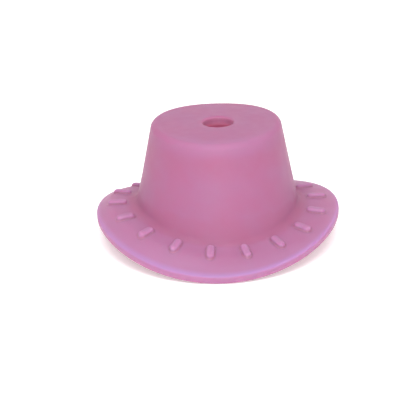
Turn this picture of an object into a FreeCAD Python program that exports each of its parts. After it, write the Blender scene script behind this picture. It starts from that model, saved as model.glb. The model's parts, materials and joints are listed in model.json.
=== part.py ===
import FreeCAD, Part
import Sketcher

import math
import os

# Silicone cupping cup: one soft moulding shaped like a top hat.
# A tapered crown with a closed top and a central hole stands on a round brim.
# The brim is a sheet bent about the X axis, so its left and right edges sit higher than front and back.
# Millimetres. Z is up, the rim rests on Z = 0 at the front (-Y) and the back (+Y).

DIMENSIONS = (
    ("brim_radius", 35.0, "outer radius of the brim, seen from above"),
    ("brim_sag", 6.7, "how far the bend lowers the front and back rim"),
    ("brim_thickness", 2.4, "thickness of the brim sheet"),
    ("rim_upper_round", 0.9, "rounding of the rim's upper edge"),
    ("rim_lower_round", 0.8, "rounding of the rim's lower edge"),
    ("cup_height", 34.6, "crown top above the surface that the rim rests on"),
    ("crown_top_radius", 18.2, "crown radius at the top, before the shoulder is rounded"),
    ("crown_taper", 11.5, "wall angle from the vertical, in degrees"),
    ("wall_thickness", 2.4, "crown wall thickness"),
    ("top_thickness", 2.8, "thickness of the closed top"),
    ("shoulder_round", 1.8, "rounding of the crown's upper edge"),
    ("chamber_round", 2.0, "rounding inside the chamber, under the top"),
    ("flare_round", 2.8, "concave blend from the crown wall into the brim"),
    ("mouth_round", 1.0, "rounding of the chamber's mouth, under the brim"),
    ("hole_diameter", 8.6, "hole in the middle of the top"),
    ("hole_round", 0.6, "rounding of both edges of the hole"),
    ("cap_depth", 6.0, "depth of the stiff cap, from the crown top down"),
    ("flex_height", 9.0, "height of the wall band that folds when the crown is pressed"),
    ("foot_radius", 26.0, "radius where the crown's foot ends and the brim begins"),
    ("nub_count", 18, "raised nubs round the brim"),
    ("nub_ring_radius", 28.4, "radius of the ring of nub centres, seen from above"),
    ("nub_phase", -5.1, "angle of the first nub from the front, towards +X, in degrees"),
    ("nub_length", 5.2, "nub length, along the radius"),
    ("nub_width", 2.4, "nub width"),
    ("nub_height", 1.0, "nub height above the brim"),
    ("nub_round", 0.7, "rounding of a nub's top edge"),
    ("nub_root", 1.0, "how deep a nub's blank reaches into the brim before it is trimmed"),
)
SIZE = {alias: value for alias, value, note in DIMENSIONS}

SPARE = 4.0  # how far cutting and trimming shapes reach past the solid
ON_SURFACE = 0.02  # how near a point lies to a surface that it is on
LEAST_CUT = 0.5  # a sub-part is smaller than what it is cut from by at least this volume
EDGE_SAMPLES = 9  # points looked at along an edge to tell which one it is
FULL_TURN = 360.0
UP = FreeCAD.Vector(0, 0, 1)

# Radius of the bend's arc on the upper side, and the height of its axis.
# The axis height puts the lowest point of the rounded rim on Z = 0.
ARC_RADIUS = "(Dims.brim_radius ^ 2 + Dims.brim_sag ^ 2) / (2 * Dims.brim_sag)"
UNDER_RADIUS = f"{ARC_RADIUS} - Dims.brim_thickness"
AXIS_HEIGHT = (
    f"Dims.rim_lower_round - sqrt(({UNDER_RADIUS} + Dims.rim_lower_round) ^ 2"
    " - (Dims.brim_radius - Dims.rim_lower_round) ^ 2)"
)

arc_radius = (SIZE["brim_radius"] ** 2 + SIZE["brim_sag"] ** 2) / (2 * SIZE["brim_sag"])
under_radius = arc_radius - SIZE["brim_thickness"]
axis_height = SIZE["rim_lower_round"] - math.sqrt(
    (under_radius + SIZE["rim_lower_round"]) ** 2
    - (SIZE["brim_radius"] - SIZE["rim_lower_round"]) ** 2
)


def make_sheet(doc):
    """The driving dimensions, one per row, each with its alias."""
    sheet = doc.addObject("Spreadsheet::Sheet", "Dims")
    for row, (alias, value, note) in enumerate(DIMENSIONS, start=1):
        sheet.set(f"A{row}", alias)
        sheet.set(f"B{row}", str(value))
        sheet.set(f"C{row}", note)
        sheet.setAlias(f"B{row}", alias)
    doc.recompute()


def new_sketch(body, name, role, lift=0.0, lift_expression=None):
    """A sketch of the body on one of its own origin planes, or lifted off it."""
    sketch = body.newObject("Sketcher::SketchObject", name)
    plane = next(f for f in body.Origin.OriginFeatures if f.Role == role)
    sketch.AttachmentSupport = [(plane, "")]
    sketch.MapMode = "FlatFace"
    sketch.AttachmentOffset = FreeCAD.Placement(FreeCAD.Vector(0, 0, lift), FreeCAD.Rotation())
    if lift_expression:
        sketch.setExpression("AttachmentOffset.Base.z", lift_expression)
    return sketch


def add_feature(body, kind, name, sketch):
    """A sketch-based feature at the tip of the body."""
    feature = body.newObject(kind, name)
    feature.Profile = sketch
    sketch.Visibility = False
    return feature


def dimension(sketch, name, kind, places, value, expression):
    """A named sketch dimension that follows the sheet."""
    index = sketch.addConstraint(Sketcher.Constraint(kind, *places, value))
    sketch.renameConstraint(index, name)
    sketch.setExpression(f"Constraints.{name}", expression)


def closed_outline(sketch, corners):
    """Straight sides through the corners, joined end to start."""
    count = len(corners)
    vectors = [FreeCAD.Vector(u, v, 0) for u, v in corners]
    for side in range(count):
        sketch.addGeometry(Part.LineSegment(vectors[side], vectors[(side + 1) % count]), False)
    for side in range(count):
        sketch.addConstraint(Sketcher.Constraint("Coincident", side, 2, (side + 1) % count, 1))


def edges_on(shape, is_on):
    """Names of the edges whose every sample point passes the test is_on(radius, y, z)."""
    names = []
    for index, edge in enumerate(shape.Edges, start=1):
        points = edge.discretize(Number=EDGE_SAMPLES)
        if all(is_on(math.hypot(p.x, p.y), p.y, p.z) for p in points):
            names.append(f"Edge{index}")
    return names


def upper_height(y):
    """Height of the brim's upper side at this distance from the bend's axis plane."""
    return axis_height + math.sqrt(arc_radius**2 - y**2)


def under_height(y):
    """Height of the brim's underside at this distance from the bend's axis plane."""
    return axis_height + math.sqrt(under_radius**2 - y**2)


def near(value, target):
    """Whether two lengths are the same within the surface tolerance."""
    return abs(value - target) < ON_SURFACE


def round_edges(doc, body, name, alias, is_on):
    """A fillet on the body's edges that pass the test, with its radius from the sheet."""
    doc.recompute()
    base = body.Tip
    edges = edges_on(base.Shape, is_on)
    if not edges:
        raise RuntimeError(f"{name}: no edge to round")
    fillet = body.newObject("PartDesign::Fillet", name)
    fillet.Base = (base, edges)
    fillet.Radius = SIZE[alias]
    fillet.setExpression("Radius", f"Dims.{alias}")
    doc.recompute()


def arc_region(body, name, radius, radius_expression, far_edge, far_expression):
    """A sketch across the bend: the region between the arc and a level line above or below it."""
    sketch = new_sketch(body, name, "YZ_Plane")
    reach = SIZE["brim_radius"] + SPARE
    half = math.asin(reach / radius)
    circle = Part.Circle(FreeCAD.Vector(0, axis_height, 0), UP, radius)
    sketch.addGeometry(Part.ArcOfCircle(circle, math.pi / 2 - half, math.pi / 2 + half), False)
    ends_height = axis_height + math.sqrt(radius**2 - reach**2)
    left_low = FreeCAD.Vector(-reach, ends_height, 0)
    left_far = FreeCAD.Vector(-reach, far_edge, 0)
    right_far = FreeCAD.Vector(reach, far_edge, 0)
    right_low = FreeCAD.Vector(reach, ends_height, 0)
    sketch.addGeometry(Part.LineSegment(left_low, left_far), False)
    sketch.addGeometry(Part.LineSegment(left_far, right_far), False)
    sketch.addGeometry(Part.LineSegment(right_far, right_low), False)
    for joined in ((0, 2, 1, 1), (1, 2, 2, 1), (2, 2, 3, 1), (3, 2, 0, 1)):
        sketch.addConstraint(Sketcher.Constraint("Coincident", *joined))
    sketch.addConstraint(Sketcher.Constraint("PointOnObject", 0, 3, -2))
    sketch.addConstraint(Sketcher.Constraint("Vertical", 1))
    sketch.addConstraint(Sketcher.Constraint("Vertical", 3))
    sketch.addConstraint(Sketcher.Constraint("Symmetric", 1, 2, 2, 2, -2))
    dimension(sketch, "axis", "DistanceY", (0, 3, -1, 1), -axis_height, f"-({AXIS_HEIGHT})")
    dimension(sketch, "arc", "Radius", (0,), radius, radius_expression)
    dimension(
        sketch, "reach", "DistanceX", (2, 1, 2, 2), 2 * reach, f"2 * (Dims.brim_radius + {SPARE})"
    )
    places = (-1, 1, 2, 1) if far_edge > 0 else (2, 1, -1, 1)
    dimension(sketch, "level", "DistanceY", places, abs(far_edge), far_expression)
    return sketch


def across_pocket(body, name, sketch):
    """Cuts the sketch's region away over the whole width of the brim."""
    pocket = add_feature(body, "PartDesign::Pocket", name, sketch)
    pocket.Type = "Length"
    pocket.Midplane = True
    pocket.setExpression("Length", f"2 * (Dims.brim_radius + {SPARE})")


def make_moulding(doc):
    """The whole cup as it leaves the mould, without its nubs."""
    body = doc.addObject("PartDesign::Body", "CupMoulding")
    body.Label = "cup_moulding"
    z_axis = next(f for f in body.Origin.OriginFeatures if f.Role == "Z_Axis")

    # Round blank of the brim.
    disc = new_sketch(body, "BrimOutline", "XY_Plane", lift=-SPARE)
    disc.addGeometry(Part.Circle(FreeCAD.Vector(), UP, SIZE["brim_radius"]), False)
    disc.addConstraint(Sketcher.Constraint("Coincident", 0, 3, -1, 1))
    dimension(disc, "outline", "Radius", (0,), SIZE["brim_radius"], "Dims.brim_radius")
    blank = add_feature(body, "PartDesign::Pad", "BrimBlank", disc)
    blank.Type = "Length"
    blank.setExpression("Length", f"Dims.cup_height / 2 + {SPARE}")
    doc.recompute()

    # The bend's upper side.
    over = arc_region(
        body, "OverBrim", arc_radius, ARC_RADIUS,
        SIZE["cup_height"] / 2 + SPARE, f"Dims.cup_height / 2 + {SPARE}",
    )
    across_pocket(body, "UpperSide", over)
    doc.recompute()

    # Solid crown, tapering upwards.
    taper = math.tan(math.radians(SIZE["crown_taper"]))
    crown = new_sketch(body, "CrownProfile", "XZ_Plane")
    foot = SIZE["crown_top_radius"] + taper * SIZE["cup_height"]
    top = SIZE["cup_height"]
    closed_outline(crown, ((0, 0), (foot, 0), (SIZE["crown_top_radius"], top), (0, top)))
    crown.addConstraint(Sketcher.Constraint("Coincident", 0, 1, -1, 1))
    crown.addConstraint(Sketcher.Constraint("Horizontal", 0))
    crown.addConstraint(Sketcher.Constraint("Horizontal", 2))
    crown.addConstraint(Sketcher.Constraint("Vertical", 3))
    dimension(
        crown, "top_radius", "DistanceX", (2, 2, 2, 1),
        SIZE["crown_top_radius"], "Dims.crown_top_radius",
    )
    dimension(crown, "height", "DistanceY", (3, 2, 3, 1), top, "Dims.cup_height")
    dimension(
        crown, "foot_radius", "DistanceX", (0, 1, 0, 2), foot,
        "Dims.crown_top_radius + tan(Dims.crown_taper * 1 deg) * Dims.cup_height",
    )
    revolved = add_feature(body, "PartDesign::Revolution", "Crown", crown)
    revolved.ReferenceAxis = (z_axis, [""])
    revolved.Angle = FULL_TURN
    doc.recompute()

    # The bend's underside.
    below = 2 * SPARE
    under = arc_region(body, "UnderBrim", under_radius, UNDER_RADIUS, -below, f"{below}")
    across_pocket(body, "UnderSide", under)
    doc.recompute()

    # Hollow chamber, open below.
    chamber = new_sketch(body, "ChamberProfile", "XZ_Plane")
    ceiling = top - SIZE["top_thickness"]
    inset = SIZE["wall_thickness"] / math.cos(math.radians(SIZE["crown_taper"]))
    ceiling_radius = SIZE["crown_top_radius"] + taper * SIZE["top_thickness"] - inset
    mouth_radius = SIZE["crown_top_radius"] + taper * (top + SPARE) - inset
    closed_outline(
        chamber, ((0, -SPARE), (mouth_radius, -SPARE), (ceiling_radius, ceiling), (0, ceiling))
    )
    chamber.addConstraint(Sketcher.Constraint("PointOnObject", 0, 1, -2))
    chamber.addConstraint(Sketcher.Constraint("Horizontal", 0))
    chamber.addConstraint(Sketcher.Constraint("Horizontal", 2))
    chamber.addConstraint(Sketcher.Constraint("Vertical", 3))
    dimension(chamber, "below", "DistanceY", (0, 1, -1, 1), SPARE, f"{SPARE}")
    dimension(
        chamber, "ceiling", "DistanceY", (-1, 1, 2, 1), ceiling, "Dims.cup_height - Dims.top_thickness"
    )
    slope = "tan(Dims.crown_taper * 1 deg)"
    wall_inset = "Dims.wall_thickness / cos(Dims.crown_taper * 1 deg)"
    dimension(
        chamber, "ceiling_radius", "DistanceX", (2, 2, 2, 1), ceiling_radius,
        f"Dims.crown_top_radius + {slope} * Dims.top_thickness - {wall_inset}",
    )
    dimension(
        chamber, "mouth_radius", "DistanceX", (0, 1, 0, 2), mouth_radius,
        f"Dims.crown_top_radius + {slope} * (Dims.cup_height + {SPARE}) - {wall_inset}",
    )
    groove = add_feature(body, "PartDesign::Groove", "Chamber", chamber)
    groove.ReferenceAxis = (z_axis, [""])
    groove.Angle = FULL_TURN
    doc.recompute()

    # Hole through the top.
    circle = new_sketch(body, "HoleOutline", "XY_Plane")
    hole_radius = SIZE["hole_diameter"] / 2
    circle.addGeometry(Part.Circle(FreeCAD.Vector(), UP, hole_radius), False)
    circle.addConstraint(Sketcher.Constraint("Coincident", 0, 3, -1, 1))
    dimension(circle, "bore", "Diameter", (0,), SIZE["hole_diameter"], "Dims.hole_diameter")
    hole = add_feature(body, "PartDesign::Pocket", "TopHole", circle)
    hole.Type = "ThroughAll"
    hole.Reversed = True

    # Roundings, from the big blend down to the small edges.
    def at_flare(radius, y, z):
        return radius < SIZE["foot_radius"] and near(z, upper_height(y))

    def at_mouth(radius, y, z):
        return radius < SIZE["foot_radius"] and near(z, under_height(y))

    def at_upper_rim(radius, y, z):
        return near(radius, SIZE["brim_radius"]) and near(z, upper_height(y))

    def at_lower_rim(radius, y, z):
        return near(radius, SIZE["brim_radius"]) and near(z, under_height(y))

    def at_shoulder(radius, y, z):
        return near(radius, SIZE["crown_top_radius"]) and near(z, top)

    def at_ceiling(radius, y, z):
        return near(radius, ceiling_radius) and near(z, ceiling)

    def at_hole(radius, y, z):
        return near(radius, hole_radius) and (near(z, top) or near(z, ceiling))

    round_edges(doc, body, "Flare", "flare_round", at_flare)
    round_edges(doc, body, "Shoulder", "shoulder_round", at_shoulder)
    round_edges(doc, body, "ChamberCorner", "chamber_round", at_ceiling)
    round_edges(doc, body, "UpperRim", "rim_upper_round", at_upper_rim)
    round_edges(doc, body, "LowerRim", "rim_lower_round", at_lower_rim)
    round_edges(doc, body, "Mouth", "mouth_round", at_mouth)
    round_edges(doc, body, "HoleEdges", "hole_round", at_hole)
    return body


def make_zone(doc, name, radius, low, height):
    """An upright cylinder that picks out one zone of the moulding."""
    zone = doc.addObject("Part::Cylinder", name)
    zone.setExpression("Radius", radius)
    zone.setExpression("Height", height)
    zone.setExpression("Placement.Base.z", low)
    return zone


def take(doc, kind, label, moulding, zone):
    """The part of the moulding inside (Part::Common) or outside (Part::Cut) a zone."""
    piece = doc.addObject(kind, label)
    piece.Label = label
    piece.Base = moulding
    piece.Tool = zone
    piece.Placement = FreeCAD.Placement()
    return piece


def make_shell(doc, moulding):
    """The named zones of the moulding: cap, folding wall, foot and brim."""
    wide = "Dims.brim_radius"
    cap_low = "Dims.cup_height - Dims.cap_depth"
    flex_low = f"{cap_low} - Dims.flex_height"
    below = f"-{SPARE}"
    through = f"Dims.cup_height + 2 * {SPARE}"
    cap_zone = make_zone(doc, "CapZone", wide, cap_low, f"Dims.cap_depth + {SPARE}")
    flex_zone = make_zone(doc, "FlexZone", wide, flex_low, "Dims.flex_height")
    foot_zone = make_zone(doc, "FootZone", "Dims.foot_radius", below, f"{flex_low} + {SPARE}")
    inner_zone = make_zone(doc, "InnerZone", "Dims.foot_radius", below, through)
    return [
        take(doc, "Part::Common", "crown_cap", moulding, cap_zone),
        take(doc, "Part::Common", "flex_wall", moulding, flex_zone),
        take(doc, "Part::Common", "crown_base", moulding, foot_zone),
        take(doc, "Part::Cut", "brim", moulding, inner_zone),
    ]


def make_nub(doc, moulding, number):
    """One pill-shaped nub, square to the bent sheet and trimmed to its surface."""
    label = f"massage_nub_{number:02d}"
    body = doc.addObject("PartDesign::Body", f"NubBlank{number:02d}")
    outline = new_sketch(
        body, f"NubOutline{number:02d}", "XY_Plane", -SIZE["nub_root"], "-Dims.nub_root"
    )
    half = (SIZE["nub_length"] - SIZE["nub_width"]) / 2
    side = SIZE["nub_width"] / 2
    quarter = math.pi / 2
    left = Part.Circle(FreeCAD.Vector(-half, 0, 0), UP, side)
    right = Part.Circle(FreeCAD.Vector(half, 0, 0), UP, side)
    outline.addGeometry(Part.ArcOfCircle(left, quarter, 3 * quarter), False)
    outline.addGeometry(Part.ArcOfCircle(right, -quarter, quarter), False)
    lower = Part.LineSegment(FreeCAD.Vector(-half, -side, 0), FreeCAD.Vector(half, -side, 0))
    upper = Part.LineSegment(FreeCAD.Vector(half, side, 0), FreeCAD.Vector(-half, side, 0))
    outline.addGeometry(lower, False)
    outline.addGeometry(upper, False)
    for joined in ((0, 2, 2, 1), (2, 2, 1, 1), (1, 2, 3, 1), (3, 2, 0, 1)):
        outline.addConstraint(Sketcher.Constraint("Tangent", *joined))
    outline.addConstraint(Sketcher.Constraint("Equal", 0, 1))
    outline.addConstraint(Sketcher.Constraint("Symmetric", 0, 3, 1, 3, -1, 1))
    outline.addConstraint(Sketcher.Constraint("PointOnObject", 0, 3, -1))
    dimension(outline, "side", "Radius", (0,), side, "Dims.nub_width / 2")
    dimension(outline, "span", "DistanceX", (0, 3, 1, 3), 2 * half, "Dims.nub_length - Dims.nub_width")
    pad = add_feature(body, "PartDesign::Pad", f"NubPad{number:02d}", outline)
    pad.Type = "Length"
    pad.setExpression("Length", "Dims.nub_root + Dims.nub_height")
    round_edges(
        doc, body, f"NubTop{number:02d}", "nub_round",
        lambda radius, y, z: near(z, SIZE["nub_height"]),
    )

    # Seen from above the nub lies on the ring at this angle; there it stands square to the bent sheet.
    angle = f"((-90 + Dims.nub_phase + {number - 1} * 360 / Dims.nub_count) * 1 deg)"
    across = f"(Dims.nub_ring_radius * sin({angle}))"
    swing = f"asin({across} / ({ARC_RADIUS}))"
    body.setExpression(
        "Placement",
        f"placement(vector(Dims.nub_ring_radius * cos({angle}); {across};"
        f" {AXIS_HEIGHT} + ({ARC_RADIUS}) * cos({swing}));"
        f" rotationx(-{swing}) * rotationz({angle}))",
    )
    nub = doc.addObject("Part::Cut", label)
    nub.Label = label
    nub.Base = body
    nub.Tool = moulding
    nub.Placement = FreeCAD.Placement()
    return nub


def check(doc, pieces):
    """Stops on a broken object, an empty sub-part or one that was not trimmed."""
    for obj in doc.Objects:
        broken = [state for state in obj.State if state in ("Invalid", "Error")]
        if broken:
            raise RuntimeError(f"{obj.Label}: {broken}")
    for piece in pieces:
        shape = piece.Shape
        if shape.isNull() or not shape.isValid() or len(shape.Solids) != 1:
            raise RuntimeError(f"{piece.Label}: not one sound solid")
        if piece.Base.Shape.Volume - shape.Volume < LEAST_CUT:
            raise RuntimeError(f"{piece.Label}: not trimmed")


def main():
    doc = FreeCAD.newDocument("cupping_cup")
    make_sheet(doc)
    moulding = make_moulding(doc)
    pieces = make_shell(doc, moulding)
    pieces += [make_nub(doc, moulding, number) for number in range(1, SIZE["nub_count"] + 1)]
    doc.recompute()
    check(doc, pieces)
    os.makedirs("parts", exist_ok=True)
    for piece in pieces:
        piece.Shape.exportStep(f"parts/{piece.Label}.step")


main()
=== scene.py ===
import json
import math

import bmesh
import bpy
import numpy as np
from mathutils import Matrix, Vector

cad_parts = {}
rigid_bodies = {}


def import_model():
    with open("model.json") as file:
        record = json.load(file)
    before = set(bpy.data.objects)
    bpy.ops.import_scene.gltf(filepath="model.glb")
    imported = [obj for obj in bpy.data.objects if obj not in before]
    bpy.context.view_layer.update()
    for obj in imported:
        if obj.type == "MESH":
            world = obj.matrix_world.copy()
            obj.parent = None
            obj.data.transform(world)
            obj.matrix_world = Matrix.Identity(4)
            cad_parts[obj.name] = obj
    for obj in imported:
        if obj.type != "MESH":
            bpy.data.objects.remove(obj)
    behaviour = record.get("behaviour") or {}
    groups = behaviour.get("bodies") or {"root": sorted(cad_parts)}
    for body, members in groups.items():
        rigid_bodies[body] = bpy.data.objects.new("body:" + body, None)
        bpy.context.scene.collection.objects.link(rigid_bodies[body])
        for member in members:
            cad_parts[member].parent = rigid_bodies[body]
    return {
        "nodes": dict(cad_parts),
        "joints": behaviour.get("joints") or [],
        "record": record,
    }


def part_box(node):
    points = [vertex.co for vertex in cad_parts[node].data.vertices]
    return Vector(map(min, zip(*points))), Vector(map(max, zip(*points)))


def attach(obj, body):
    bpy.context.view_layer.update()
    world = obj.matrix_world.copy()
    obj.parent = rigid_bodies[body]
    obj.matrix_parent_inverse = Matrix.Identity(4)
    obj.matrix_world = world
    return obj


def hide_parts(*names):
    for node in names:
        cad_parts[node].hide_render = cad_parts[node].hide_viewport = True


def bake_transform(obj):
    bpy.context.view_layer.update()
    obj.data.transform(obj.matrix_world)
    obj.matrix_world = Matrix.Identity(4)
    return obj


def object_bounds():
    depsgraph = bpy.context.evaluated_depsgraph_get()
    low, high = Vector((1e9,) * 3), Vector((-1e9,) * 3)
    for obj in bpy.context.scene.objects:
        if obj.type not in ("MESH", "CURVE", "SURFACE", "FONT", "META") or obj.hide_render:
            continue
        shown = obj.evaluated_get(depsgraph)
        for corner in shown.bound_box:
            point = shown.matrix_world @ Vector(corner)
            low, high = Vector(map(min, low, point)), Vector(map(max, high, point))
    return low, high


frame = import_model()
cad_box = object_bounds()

MM = 0.001

# ---------------------------------------------------------------- sizes read from the frame

low, high = cad_box
brim_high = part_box("brim")[1]
joint = frame["joints"][0]
mounts = {m["name"]: m for m in frame["record"]["mounts"]}

TOP = high.z  # level of the crown's flat top
BRIM_RADIUS = (high.x - low.x) / 2
CREST = brim_high.z  # the brim's upper side on the X axis, its highest line
HOLE_RADIUS = mounts["top_hole"]["dims"]["r_mm"] * MM
NUBS = sorted(n for n in frame["nodes"] if n.startswith("massage_nub"))

# ---------------------------------------------------------------- sizes of the moulding

BRIM_THICKNESS = 2.4 * MM
BRIM_SAG = 6.7 * MM  # the front and back rim hang this far below the crest
RIM_UPPER_ROUND = 0.9 * MM
RIM_LOWER_ROUND = 0.8 * MM
CROWN_TOP_RADIUS = 18.2 * MM
TAPER_ANGLE = math.radians(11.5)  # the wall's lean from the vertical
TAPER = math.tan(TAPER_ANGLE)
WALL = 2.4 * MM / math.cos(TAPER_ANGLE)  # wall thickness, measured level
TOP_THICKNESS = 2.8 * MM
CEILING = TOP - TOP_THICKNESS
SHOULDER_ROUND = 1.8 * MM
CORNER_ROUND = 2.0 * MM
FLARE_ROUND = 2.8 * MM
MOUTH_ROUND = 1.0 * MM
HOLE_ROUND = 0.6 * MM

NUB_RING = 28.4 * MM  # distance of the nubs' middles from the axis
NUB_PHASE = math.radians(-5.1)  # the first nub stands this far off straight front
NUB_LENGTH = 5.2 * MM
NUB_WIDTH = 2.4 * MM
NUB_HEIGHT = 1.0 * MM
NUB_ROUND = 0.8 * MM
NUB_FOOT = 0.30 * MM  # concave rounding where a nub runs out onto the brim
NUB_ROOT = 0.5 * MM  # how far a nub reaches into the brim
NUB_DOME = 0.04 * MM  # rise of a nub's top over its shoulder

# How the soft cup has settled out of true.
INNER_LIFT = 1.31 * MM  # the ring of nubs stands this much higher than the plain bend
INNER_LEAN = -0.87 * MM  # less of it on the right, more on the left
INNER_TWIST = 0.65 * MM  # and more of it at the left front and the right back
FRONT_LIFT = 0.20 * MM  # a little more towards the front
BACK_LIFT = -0.89 * MM  # and less towards the back
BACK_DROP = 0.35 * MM  # the whole back half of the ring lies lower
RIM_LEAN = 0.17 * MM  # the rim stands higher on the right
RIM_TWIST = 0.20 * MM  # and at the right back and left front
RING_NARROW = 0.033  # the ring of nubs is drawn in at the front and back
RING_WIDE = 0.026  # and pushed out at the sides
DRAWN_IN = 0.031  # front and back of the brim come closer to the axis
TOP_SINK = 0.12 * MM
TOP_SAG = 0.86 * MM  # front and back of the flat top droop
TOP_LEAN = 0.12 * MM  # its right side stands higher
HOLE_SHIFT = (0.6 * MM, -1.0 * MM)

ARC_RADIUS = (BRIM_RADIUS**2 + BRIM_SAG**2) / (2 * BRIM_SAG)
ARC_AXIS = CREST - ARC_RADIUS
UNDER_RADIUS = ARC_RADIUS - BRIM_THICKNESS
CROWN_FROM = CREST + 4 * MM  # above this a point belongs to the crown, below it to the brim and its flare

# How finely the skin is divided.
SPOKES = 216
SHEET_STEPS = 10
WALL_STEPS = 18
TOP_STEPS = 9
NUB_CORNERS = 14
BISECTIONS = 40


# ---------------------------------------------------------------- outline of the moulding

def lerp(a, b, t):
    return a + (b - a) * t


def round_corner(before, corner, after, radius, steps):
    """Points of the arc that rounds a corner between two straight runs, both ends included."""
    back = (before - corner) / np.linalg.norm(before - corner)
    ahead = (after - corner) / np.linalg.norm(after - corner)
    half = math.acos(float(np.clip(back @ ahead, -1, 1))) / 2
    setback = radius / math.tan(half)
    bisector = (back + ahead) / np.linalg.norm(back + ahead)
    centre = corner + bisector * radius / math.sin(half)
    start = corner + back * setback - centre
    end = corner + ahead * setback - centre
    sweep = math.pi - 2 * half
    points = []
    for step in range(steps + 1):
        t = step / steps
        mix = (math.sin((1 - t) * sweep) * start + math.sin(t * sweep) * end) / math.sin(sweep)
        points.append(centre + mix)
    return points


def between(start, end, steps):
    """Points strictly between two ends, evenly spread."""
    return [lerp(start, end, step / (steps + 1)) for step in range(1, steps + 1)]


def sheet_height(radius, swing, sheet):
    """Height of the bent sheet, for its side of this arc radius, at a distance from the axis."""
    return ARC_AXIS + math.sqrt(sheet**2 - (radius * math.cos(swing)) ** 2)


def sheet_slope(radius, swing, sheet):
    """Rise of the bent sheet per unit of radius."""
    across = math.cos(swing)
    return -radius * across**2 / math.sqrt(sheet**2 - (radius * across) ** 2)


def on_sheet(radius, swing, sheet):
    return np.array((radius, sheet_height(radius, swing, sheet)))


def along_sheet(start, end, swing, sheet):
    """Points of the sheet strictly between two distances from the axis."""
    return [on_sheet(lerp(start, end, step / SHEET_STEPS), swing, sheet) for step in range(1, SHEET_STEPS)]


def tangent_point(swing, sheet, low_radius, high_radius, miss):
    """The radius between two where miss(point, normal) changes sign, and the sheet's normal there."""
    for _ in range(BISECTIONS):
        radius = (low_radius + high_radius) / 2
        slope = sheet_slope(radius, swing, sheet)
        normal = np.array((-slope, 1)) / math.hypot(slope, 1)
        if miss(on_sheet(radius, swing, sheet), normal) > 0:
            high_radius = radius
        else:
            low_radius = radius
    return radius, normal


def arc(centre, start, end, steps):
    """Points of the short arc about a centre, both ends included."""
    a, b = start - centre, end - centre
    sweep = math.acos(float(np.clip(a @ b / np.linalg.norm(a) / np.linalg.norm(b), -1, 1)))
    points = []
    for step in range(steps + 1):
        t = step / steps
        points.append(centre + (math.sin((1 - t) * sweep) * a + math.sin(t * sweep) * b) / math.sin(sweep))
    return points


def wall_radius(height, inset=0.0):
    return CROWN_TOP_RADIUS + TAPER * (TOP - height) - inset


def outline(swing):
    """The moulding's closed outline in the half plane at this azimuth, from the front towards +X."""
    # Crown: from the hole's lower edge up, over the top, and down the wall.
    mouth_of_hole = np.array((HOLE_RADIUS, CEILING))
    lip_of_hole = np.array((HOLE_RADIUS, TOP))
    shoulder = np.array((CROWN_TOP_RADIUS, TOP))
    wall_foot = np.array((wall_radius(CREST), CREST))
    chamber_corner = np.array((wall_radius(CEILING, WALL), CEILING))
    chamber_foot = np.array((wall_radius(0, WALL), 0))

    hole_low = round_corner(chamber_corner, mouth_of_hole, lip_of_hole, HOLE_ROUND, 5)
    hole_high = round_corner(mouth_of_hole, lip_of_hole, shoulder, HOLE_ROUND, 6)
    shoulder_arc = round_corner(lip_of_hole, shoulder, wall_foot, SHOULDER_ROUND, 12)

    # Flare: the circle that touches the wall and the sheet.
    wall_normal = np.array((1, TAPER)) / math.hypot(1, TAPER)

    def flare_miss(point, normal):
        centre = point + normal * FLARE_ROUND
        return (centre - wall_foot) @ wall_normal - FLARE_ROUND

    flare_end, normal = tangent_point(swing, ARC_RADIUS, 22 * MM, 30 * MM, flare_miss)
    flare_centre = on_sheet(flare_end, swing, ARC_RADIUS) + normal * FLARE_ROUND
    flare_arc = arc(
        flare_centre, flare_centre - wall_normal * FLARE_ROUND,
        on_sheet(flare_end, swing, ARC_RADIUS), 10,
    )

    # Rim: a rounding above and a rounding below, touching the sheet and the upright edge.
    def upper_miss(point, normal):
        return (point - normal * RIM_UPPER_ROUND)[0] - (BRIM_RADIUS - RIM_UPPER_ROUND)

    def lower_miss(point, normal):
        return (point + normal * RIM_LOWER_ROUND)[0] - (BRIM_RADIUS - RIM_LOWER_ROUND)

    upper_end, normal = tangent_point(swing, ARC_RADIUS, 30 * MM, BRIM_RADIUS, upper_miss)
    centre = on_sheet(upper_end, swing, ARC_RADIUS) - normal * RIM_UPPER_ROUND
    upper_arc = arc(
        centre, on_sheet(upper_end, swing, ARC_RADIUS), centre + (RIM_UPPER_ROUND, 0), 8
    )
    lower_end, normal = tangent_point(swing, UNDER_RADIUS, 30 * MM, BRIM_RADIUS, lower_miss)
    centre = on_sheet(lower_end, swing, UNDER_RADIUS) + normal * RIM_LOWER_ROUND
    lower_arc = arc(
        centre, centre + (RIM_LOWER_ROUND, 0), on_sheet(lower_end, swing, UNDER_RADIUS), 7
    )

    # Mouth: the underside turns up into the chamber.
    mouth_low, mouth_high = 18 * MM, 30 * MM
    for _ in range(BISECTIONS):
        radius = (mouth_low + mouth_high) / 2
        height = sheet_height(radius, swing, UNDER_RADIUS)
        if radius > wall_radius(height, WALL):
            mouth_high = radius
        else:
            mouth_low = radius
    mouth = on_sheet(radius, swing, UNDER_RADIUS)
    outward = on_sheet(radius + 3 * MM, swing, UNDER_RADIUS)
    mouth_arc = round_corner(outward, mouth, chamber_corner, MOUTH_ROUND, 6)
    corner_arc = round_corner(chamber_foot, chamber_corner, mouth_of_hole, CORNER_ROUND, 8)

    points = hole_low + between(hole_low[-1], hole_high[0], 1) + hole_high
    points += between(hole_high[-1], shoulder_arc[0], TOP_STEPS) + shoulder_arc
    points += between(shoulder_arc[-1], flare_arc[0], WALL_STEPS) + flare_arc
    points += along_sheet(flare_end, upper_end, swing, ARC_RADIUS)
    points += upper_arc + between(upper_arc[-1], lower_arc[0], 1) + lower_arc
    points += along_sheet(lower_end, mouth_arc[0][0], swing, UNDER_RADIUS)
    points += mouth_arc + between(mouth_arc[-1], corner_arc[0], WALL_STEPS) + corner_arc
    points += between(corner_arc[-1], hole_low[0], TOP_STEPS)
    return points


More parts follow.
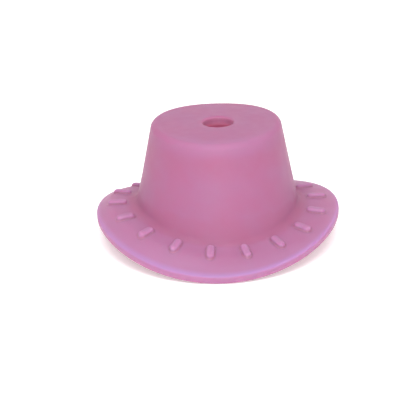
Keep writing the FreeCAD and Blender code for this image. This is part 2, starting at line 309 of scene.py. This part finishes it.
def smoothstep(low_edge, high_edge, value):
    t = min(max((value - low_edge) / (high_edge - low_edge), 0.0), 1.0)
    return t * t * (3 - 2 * t)


def settle(x, y, z):
    """Where a point of the moulding lies once the soft cup has settled a little out of true."""
    radius = max(math.hypot(x, y), 0.01 * MM)
    low_wall = 1 - smoothstep(CREST + 3 * MM, CREST + 12 * MM, z)
    sheet = smoothstep(19 * MM, 25 * MM, radius) * low_wall
    inner = sheet * (1 - smoothstep(29.5 * MM, BRIM_RADIUS, radius))
    right, far = x / NUB_RING, y / NUB_RING
    z += inner * (INNER_LIFT + INNER_LEAN * right + INNER_TWIST * right * far)
    z += inner * (FRONT_LIFT if y < 0 else BACK_LIFT) * far**2
    z -= inner * BACK_DROP * smoothstep(0, 8 * MM, y)
    z += sheet * (RIM_LEAN * x / BRIM_RADIUS + RIM_TWIST * x * y / BRIM_RADIUS**2)

    facing = (y / radius) ** 2
    ring = smoothstep(24 * MM, 28 * MM, radius) * (1 - smoothstep(30 * MM, BRIM_RADIUS, radius))
    scale = 1 - ring * low_wall * (RING_NARROW * facing - RING_WIDE * (1 - facing))
    x *= scale
    y *= scale * (1 - DRAWN_IN * smoothstep(20 * MM, 29 * MM, radius) * low_wall)

    crown = smoothstep(CREST + 10 * MM, TOP, z)
    z -= crown * (TOP_SINK + TOP_SAG * abs(y / CROWN_TOP_RADIUS) ** 3 - TOP_LEAN * x / CROWN_TOP_RADIUS)
    by_hole = crown * (1 - smoothstep(5 * MM, 13 * MM, radius))
    return x + HOLE_SHIFT[0] * by_hole, y + HOLE_SHIFT[1] * by_hole, z


def on_upper_side(radius, height, swing):
    """1 on the brim's upper side, 0 on its underside."""
    return smoothstep(0, BRIM_THICKNESS / 2, height - sheet_height(radius, swing, UNDER_RADIUS))


def frontness(swing):
    """1 at the front, 0 at the back: it makes painted shade and highlights stronger at the front, where the
    light falls.
    """
    return 0.5 + 0.5 * math.cos(swing)


BAND_BEHIND, BAND_IN_FRONT = 0.10, 0.20  # shares of the painted shade band under the shoulder
CREASE_RADIUS, CREASE_WIDTH = 24.4 * MM, 1.9 * MM  # painted shade in the crease where the flare meets the brim
CREASE_IN_FRONT, CREASE_MORE_AT_SIDES = 0.22, 0.15
RING_SHARE = 0.03  # painted shade among the nubs
# painted shade on the brim's underside
UNDERSIDE_SHARE = 0.55


def shade_mask(radius, height, swing):
    """How much painted shade darkens and warms the rubber here, in a fold, below the shoulder or on the
    underside, 0 to 1.
    """
    if height > CROWN_FROM:
        depth = TOP - height
        band = smoothstep(2.8 * MM, 5.0 * MM, depth) * (1 - smoothstep(5.5 * MM, 12 * MM, depth))
        return band * lerp(BAND_BEHIND, BAND_IN_FRONT, frontness(swing))
    crease = math.exp(-(((radius - CREASE_RADIUS) / CREASE_WIDTH) ** 2))
    ring = smoothstep(24 * MM, 27 * MM, radius) * (1 - smoothstep(30 * MM, 33 * MM, radius))
    crease_share = CREASE_IN_FRONT + CREASE_MORE_AT_SIDES * math.sin(swing) ** 2
    above = crease_share * crease + RING_SHARE * ring
    return lerp(UNDERSIDE_SHARE, above, on_upper_side(radius, height, swing))


# Shares of the painted glow that stands in for light coming through the rubber.
HOLE_SHARE = 0.35
CHAMBER_SHARE = 0.95
THIN_SIDE_SHARE = 0.16  # the brim's raised left and right sides, given a painted glow for light soaking through the sheet


def glow_mask(radius, height, swing):
    """How strong the painted glow is here, 0 to 1, standing in for light from within the rubber: most of it
    in the hole and the chamber.
    """
    in_hole = 1 - smoothstep(HOLE_RADIUS, HOLE_RADIUS + 0.3 * MM, radius)
    depth = wall_radius(height, 0.5 * MM) - radius
    below_top = 1 - smoothstep(CEILING + 0.4 * MM, CEILING + 1.2 * MM, height)
    in_chamber = smoothstep(0, WALL / 2, depth) * below_top
    thin_side = smoothstep(26 * MM, 31 * MM, radius) * math.sin(swing) ** 4
    return max(HOLE_SHARE * in_hole, CHAMBER_SHARE * in_chamber, THIN_SIDE_SHARE * thin_side)


RIM_HIGHLIGHT_SHARE = 0.9  # painted rim highlight at the very front; none at the back


def painted_rim_highlight(radius, height, swing):
    """How strongly a painted highlight makes the rim's upper edge cool and pale, 0 to 1."""
    if height > CROWN_FROM or radius < 30 * MM:
        return 0.0
    edge = smoothstep(33.8 * MM, 34.4 * MM, radius)
    below = sheet_height(min(radius, 34 * MM), swing, ARC_RADIUS) - height
    return edge * (1 - smoothstep(0.4 * MM, 0.7 * MM, below)) * RIM_HIGHLIGHT_SHARE * frontness(swing)


SHOULDER_SHARE = 0.40  # painted highlight on the shoulder at the front; it fades quickly to the sides
# painted highlight on the brim, stronger towards the rim
BRIM_SHARE, RIM_SHARE = 0.35, 0.70


def highlight_mask(radius, height, swing):
    """How much a painted highlight makes the rubber paler here, where an edge stands out and catches the
    light, 0 to 1.
    """
    if height > CROWN_FROM:
        outer = smoothstep(13.5 * MM, 16.5 * MM, radius)
        near_top = 1 - smoothstep(1.0 * MM, 3.6 * MM, TOP - height)
        return outer * near_top * SHOULDER_SHARE * frontness(swing) ** 4
    brim = lerp(BRIM_SHARE, RIM_SHARE, smoothstep(30.5 * MM, 34 * MM, radius))
    return brim * smoothstep(24 * MM, 27 * MM, radius) * on_upper_side(radius, height, swing)


def smooth_mesh(name, vertices, faces):
    mesh = bpy.data.meshes.new(name)
    mesh.from_pydata([tuple(v) for v in vertices], [], faces)
    mesh.update()
    checker = bmesh.new()
    checker.from_mesh(mesh)
    bmesh.ops.recalc_face_normals(checker, faces=checker.faces)
    checker.to_mesh(mesh)
    checker.free()
    mesh.polygons.foreach_set("use_smooth", [True] * len(mesh.polygons))
    piece = bpy.data.objects.new(name, mesh)
    bpy.context.scene.collection.objects.link(piece)
    return piece


# Painted shade, painted glow, painted rim highlight and painted highlight, one number per vertex each.
MASKS = {"painted_shade": shade_mask, "painted_glow": glow_mask, "painted_rim_highlight": painted_rim_highlight, "painted_highlight": highlight_mask}


def make_cup():
    """The whole moulding but its nubs, as one closed skin."""
    vertices, faces = [], []
    painted = {name: [] for name in MASKS}
    for spoke in range(SPOKES):
        swing = 2 * math.pi * spoke / SPOKES
        ring = outline(swing)
        for radius, height in ring:
            vertices.append(settle(radius * math.sin(swing), -radius * math.cos(swing), height))
            for name, mask in MASKS.items():
                painted[name].append(mask(radius, height, swing))
    count = len(ring)
    for spoke in range(SPOKES):
        following = (spoke + 1) % SPOKES
        for k in range(count):
            after = (k + 1) % count
            faces.append(
                (spoke * count + k, spoke * count + after, following * count + after, following * count + k)
            )
    piece = smooth_mesh("cup_skin", vertices, faces)
    for name, values in painted.items():
        paint(piece, name, values)
    return piece


# ---------------------------------------------------------------- nubs

def nub_profile():
    """A nub's side, as (outward offset from its nominal outline, height), from its foot to its top."""
    points = []
    # Concave foot that runs out onto the brim.
    for step in range(6):
        t = math.pi / 2 * step / 5
        points.append((NUB_FOOT * (1 - math.sin(t)), NUB_FOOT * (1 - math.cos(t))))
    # Convex shoulder.
    for step in range(9):
        t = math.pi / 2 * step / 8
        points.append((-NUB_ROUND * (1 - math.cos(t)), NUB_HEIGHT - NUB_ROUND * (1 - math.sin(t))))
    return points


def stadium(offset):
    """Outline of the pill at this offset: points round a stretched circle."""
    half = (NUB_LENGTH - NUB_WIDTH) / 2
    radius = NUB_WIDTH / 2 + offset
    points = []
    for end in (1, -1):
        for step in range(NUB_CORNERS + 1):
            turn = math.pi * (step / NUB_CORNERS - 0.5) + (0 if end > 0 else math.pi)
            points.append((end * half + radius * math.cos(turn), radius * math.sin(turn)))
    return points


def nub_mesh():
    """Vertices and faces of a nub that lies along X with its foot on z = 0."""
    profile = nub_profile()
    last_offset, last_height = profile[-1]
    inner = NUB_WIDTH / 2 + last_offset
    rings = [[(x, y, -NUB_ROOT) for x, y in stadium(NUB_FOOT)]]
    rings += [[(x, y, height) for x, y in stadium(offset)] for offset, height in profile]
    for share in (0.66, 0.33):  # two rings within the flat top, which lift it to a slight dome
        height = last_height + (1 - share**2) * NUB_DOME
        rings.append([(x, y, height) for x, y in stadium(last_offset - inner * (1 - share))])

    count = len(rings[0])
    vertices = [vertex for ring in rings for vertex in ring]
    faces = []
    for r in range(len(rings) - 1):
        for k in range(count):
            after = (k + 1) % count
            faces.append((r * count + k, r * count + after, (r + 1) * count + after, (r + 1) * count + k))
    faces.append(tuple(range(count - 1, -1, -1)))
    top = (len(rings) - 1) * count
    for k in range(count // 2 - 1):
        faces.append((top + k, top + k + 1, top + count - 2 - k, top + count - 1 - k))
    return vertices, faces


NUB_TOP_SHARE = 0.85
NUB_FOOT_GLOW = 0.45


def make_nub(number, node):
    """One pill-shaped nub, square to the bent sheet where it stands."""
    vertices, faces = nub_mesh()
    angle = math.radians(-90) + NUB_PHASE + number * 2 * math.pi / len(NUBS)
    across = NUB_RING * math.sin(angle)
    swing = math.asin(across / ARC_RADIUS)
    place = Matrix.Translation((
        NUB_RING * math.cos(angle), across, ARC_AXIS + ARC_RADIUS * math.cos(swing)
    )) @ Matrix.Rotation(-swing, 4, "X") @ Matrix.Rotation(angle, 4, "Z")
    settled = [settle(*(place @ Vector(vertex))) for vertex in vertices]
    piece = smooth_mesh(node.replace("massage_nub", "nub_skin"), settled, faces)
    heights = [height for _, _, height in vertices]
    # A painted glow at the foot of a soft nub stands in for light soaking into it and keeps its edge from
    # reading as a dark line.
    paint(piece, "painted_glow", [NUB_FOOT_GLOW * (1 - smoothstep(0, 0.55 * MM, height)) for height in heights])
    # Painted highlight: the nub's top is paler.
    paint(piece, "painted_highlight", [NUB_TOP_SHARE * smoothstep(0.1 * MM, 0.8 * MM, height) for height in heights])
    return piece


# ---------------------------------------------------------------- material

PINK = (0.335, 0.132, 0.25, 1)
PINK_WARM = (0.345, 0.122, 0.235, 1)
# Colours for painted shade, painted highlight, painted glow and a painted rim highlight, then the emission
# colours of the painted glow.
SHADE_PINK = (0.35, 0.088, 0.16, 1)
HIGHLIGHT_PINK = (0.38, 0.180, 0.325, 1)
PAINTED_GLOW_PINK = (0.40, 0.15, 0.24, 1)
RIM_HIGHLIGHT_LILAC = (0.36, 0.20, 0.41, 1)
FAINT_GLOW = (0.40, 0.20, 0.30, 1)
DEEP_GLOW = (0.42, 0.10, 0.18, 1)
GLOW_STRENGTH = 0.45
SILICONE_IOR = 1.41

# Noise scales are per metre.
CLOUD_SCALE = 110
GLOSS_SCALE = 260
GRAIN_SCALE = 1800
SWELL_SCALE = 170


def mix_colours(tree, share, first, second):
    """A colour between two, each of them a fixed colour or a socket."""
    node = tree.nodes.new("ShaderNodeMix")
    node.data_type = "RGBA"
    for name, colour in (("A", first), ("B", second)):
        socket = next(i for i in node.inputs if i.name == name and i.type == "RGBA")
        if isinstance(colour, tuple):
            socket.default_value = colour
        else:
            tree.links.new(colour, socket)
    tree.links.new(share, node.inputs["Factor"])
    return next(o for o in node.outputs if o.type == "RGBA")


def map_range(tree, value, from_range, to_range=(0, 1)):
    """The map range node that takes a value from one range to another, clamped."""
    node = tree.nodes.new("ShaderNodeMapRange")
    for name, number in zip(("From Min", "From Max", "To Min", "To Max"), from_range + to_range):
        node.inputs[name].default_value = number
    tree.links.new(value, node.inputs["Value"])
    return node


def silicone():
    """Soft pink rubber: cloudy colour, with painted shade that makes folds and recesses warmer, painted
    highlights that make standing edges paler, and a painted glow.
    """
    material = bpy.data.materials.new("pink_silicone")
    material.use_nodes = True
    tree = material.node_tree
    nodes, links = tree.nodes, tree.links
    shader = nodes["Principled BSDF"]
    where = nodes.new("ShaderNodeTexCoord").outputs["Object"]

    def noise(scale, detail, roughness=0.5):
        node = nodes.new("ShaderNodeTexNoise")
        node.inputs["Scale"].default_value = scale
        node.inputs["Detail"].default_value = detail
        node.inputs["Roughness"].default_value = roughness
        links.new(where, node.inputs["Vector"])
        return node.outputs["Fac"]

    def spread(value, from_range, to_range):
        return map_range(tree, value, from_range, to_range).outputs["Result"]

    def painted(name):
        node = nodes.new("ShaderNodeAttribute")
        node.attribute_name = name
        return node.outputs["Fac"]

    def bump(height, strength, distance):
        node = nodes.new("ShaderNodeBump")
        node.inputs["Strength"].default_value = strength
        node.inputs["Distance"].default_value = distance
        links.new(height, node.inputs["Height"])
        return node

    cloud = spread(noise(CLOUD_SCALE, 3), (0.35, 0.65), (0, 1))
    colour = mix_colours(tree, cloud, PINK, PINK_WARM)
    # Painted shade, painted highlights, painted glow and a painted rim highlight over the cloudy colour.
    colour = mix_colours(tree, painted("painted_shade"), colour, SHADE_PINK)
    colour = mix_colours(tree, painted("painted_highlight"), colour, HIGHLIGHT_PINK)
    colour = mix_colours(tree, painted("painted_glow"), colour, PAINTED_GLOW_PINK)
    colour = mix_colours(tree, painted("painted_rim_highlight"), colour, RIM_HIGHLIGHT_LILAC)
    links.new(colour, shader.inputs["Base Color"])

    # A faint glow stands in for light that soaks through the soft walls.
    glow = mix_colours(tree, painted("painted_glow"), FAINT_GLOW, DEEP_GLOW)
    links.new(glow, shader.inputs["Emission Color"])
    links.new(spread(painted("painted_glow"), (0, 1), (0, GLOW_STRENGTH)), shader.inputs["Emission Strength"])

    links.new(spread(noise(GLOSS_SCALE, 4), (0.3, 0.7), (0.40, 0.52)), shader.inputs["Roughness"])
    shader.inputs["IOR"].default_value = SILICONE_IOR
    shader.inputs["Specular IOR Level"].default_value = 0.25
    shader.inputs["Subsurface Weight"].default_value = 0.8
    shader.inputs["Subsurface Radius"].default_value = (1.0, 0.45, 0.6)
    shader.inputs["Subsurface Scale"].default_value = 3.0 * MM

    grain = bump(noise(GRAIN_SCALE, 3, 0.6), 0.10, 0.06 * MM)
    swell = bump(noise(SWELL_SCALE, 1), 0.25, 0.10 * MM)
    links.new(grain.outputs["Normal"], swell.inputs["Normal"])
    links.new(swell.outputs["Normal"], shader.inputs["Normal"])
    return material


def paint(piece, name, values):
    """One number per vertex, read by the material."""
    layer = piece.data.attributes.new(name, "FLOAT", "POINT")
    layer.data.foreach_set("value", values)


# ---------------------------------------------------------------- stage

FLOOR_HALF_SIDE = 4.0
FLOOR_WHITE = (0.95, 0.95, 0.95, 1)
FLOOR_GLOW = 0.25  # lightens the cast shadow


def make_stage():
    floor = bpy.data.meshes.new("floor")
    side = FLOOR_HALF_SIDE
    floor.from_pydata(
        [(-side, -side, low.z), (side, -side, low.z), (side, side, low.z), (-side, side, low.z)],
        [], [(0, 1, 2, 3)],
    )
    piece = bpy.data.objects.new("floor", floor)
    bpy.context.scene.collection.objects.link(piece)
    material = bpy.data.materials.new("floor_white")
    material.use_nodes = True
    shader = material.node_tree.nodes["Principled BSDF"]
    shader.inputs["Base Color"].default_value = FLOOR_WHITE
    shader.inputs["Roughness"].default_value = 0.9
    shader.inputs["Emission Color"].default_value = (1, 1, 1, 1)
    shader.inputs["Emission Strength"].default_value = FLOOR_GLOW
    floor.materials.append(material)


LIGHT_AIM = 0.015  # height that both lights face
KEY_POWER = 2.6
FRONT_POWER = 2.2
BACKDROP_WHITE = (1, 1, 1, 1)
SIDE_GLOOM = (0.50, 0.40, 0.38, 1)
CEILING_GLOOM = (0.72, 0.70, 0.68, 1)


def area_light(name, place, size, power):
    """A rectangular light that faces the middle of the cup."""
    data = bpy.data.lights.new(name, "AREA")
    data.shape = "RECTANGLE"
    data.size, data.size_y = size
    data.energy = power
    lamp = bpy.data.objects.new(name, data)
    lamp.location = place
    lamp.rotation_mode = "QUATERNION"
    lamp.rotation_quaternion = (Vector((0, 0, LIGHT_AIM)) - Vector(place)).to_track_quat("-Z", "Y")
    bpy.context.scene.collection.objects.link(lamp)


def make_lights():
    """A white backdrop that dims towards both sides and overhead, a soft key above and a soft front light."""
    world = bpy.data.worlds.new("studio")
    world.use_nodes = True
    tree = world.node_tree
    heading = tree.nodes.new("ShaderNodeTexCoord").outputs["Generated"]
    parts = tree.nodes.new("ShaderNodeSeparateXYZ")
    tree.links.new(heading, parts.inputs["Vector"])
    sideways = tree.nodes.new("ShaderNodeMath")
    sideways.operation = "ABSOLUTE"
    tree.links.new(parts.outputs["X"], sideways.inputs[0])
    colour = BACKDROP_WHITE
    for value, reach, gloom in (
        (sideways.outputs[0], (0.3, 0.95), SIDE_GLOOM), (parts.outputs["Z"], (0.4, 0.95), CEILING_GLOOM)
    ):
        share = map_range(tree, value, reach)
        share.interpolation_type = "SMOOTHSTEP"
        colour = mix_colours(tree, share.outputs["Result"], colour, gloom)
    backdrop = tree.nodes["Background"]
    tree.links.new(colour, backdrop.inputs["Color"])
    backdrop.inputs["Strength"].default_value = 1.0
    bpy.context.scene.world = world
    area_light("key", (0.0, -0.25, 0.6), (0.5, 0.35), KEY_POWER)
    area_light("front", (0.0, -0.7, 0.25), (0.3, 0.3), FRONT_POWER)


CAMERA_ELEVATION = math.radians(23.76)
CAMERA_ROLL = math.radians(1.42)
CAMERA_DISTANCE = 0.35
CAMERA_AIM = (-2.82 * MM, 0, 7.6 * MM)
CAMERA_LENS = 104.26


def make_camera():
    data = bpy.data.cameras.new("camera")
    camera = bpy.data.objects.new("camera", data)
    bpy.context.scene.collection.objects.link(camera)
    data.sensor_width = 36.0
    data.lens = CAMERA_LENS
    data.clip_start, data.clip_end = 0.01, 10
    back = Vector((0, -math.cos(CAMERA_ELEVATION), math.sin(CAMERA_ELEVATION)))
    camera.location = Vector(CAMERA_AIM) + back * CAMERA_DISTANCE
    camera.rotation_mode = "QUATERNION"
    camera.rotation_quaternion = (
        (-back).to_track_quat("-Z", "Y") @ Matrix.Rotation(-CAMERA_ROLL, 3, "Z").to_quaternion()
    )
    bpy.context.scene.camera = camera


# ---------------------------------------------------------------- the object

rubber = silicone()
cup = make_cup()
cup.data.materials.append(rubber)
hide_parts("crown_cap", "flex_wall", "crown_base", "brim")
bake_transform(cup)

for number, node in enumerate(NUBS):
    nub = make_nub(number, node)
    nub.data.materials.append(rubber)
    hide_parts(node)
    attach(nub, joint["parent"])

make_stage()
make_lights()
make_camera()
bpy.context.scene.view_settings.view_transform = "Standard"
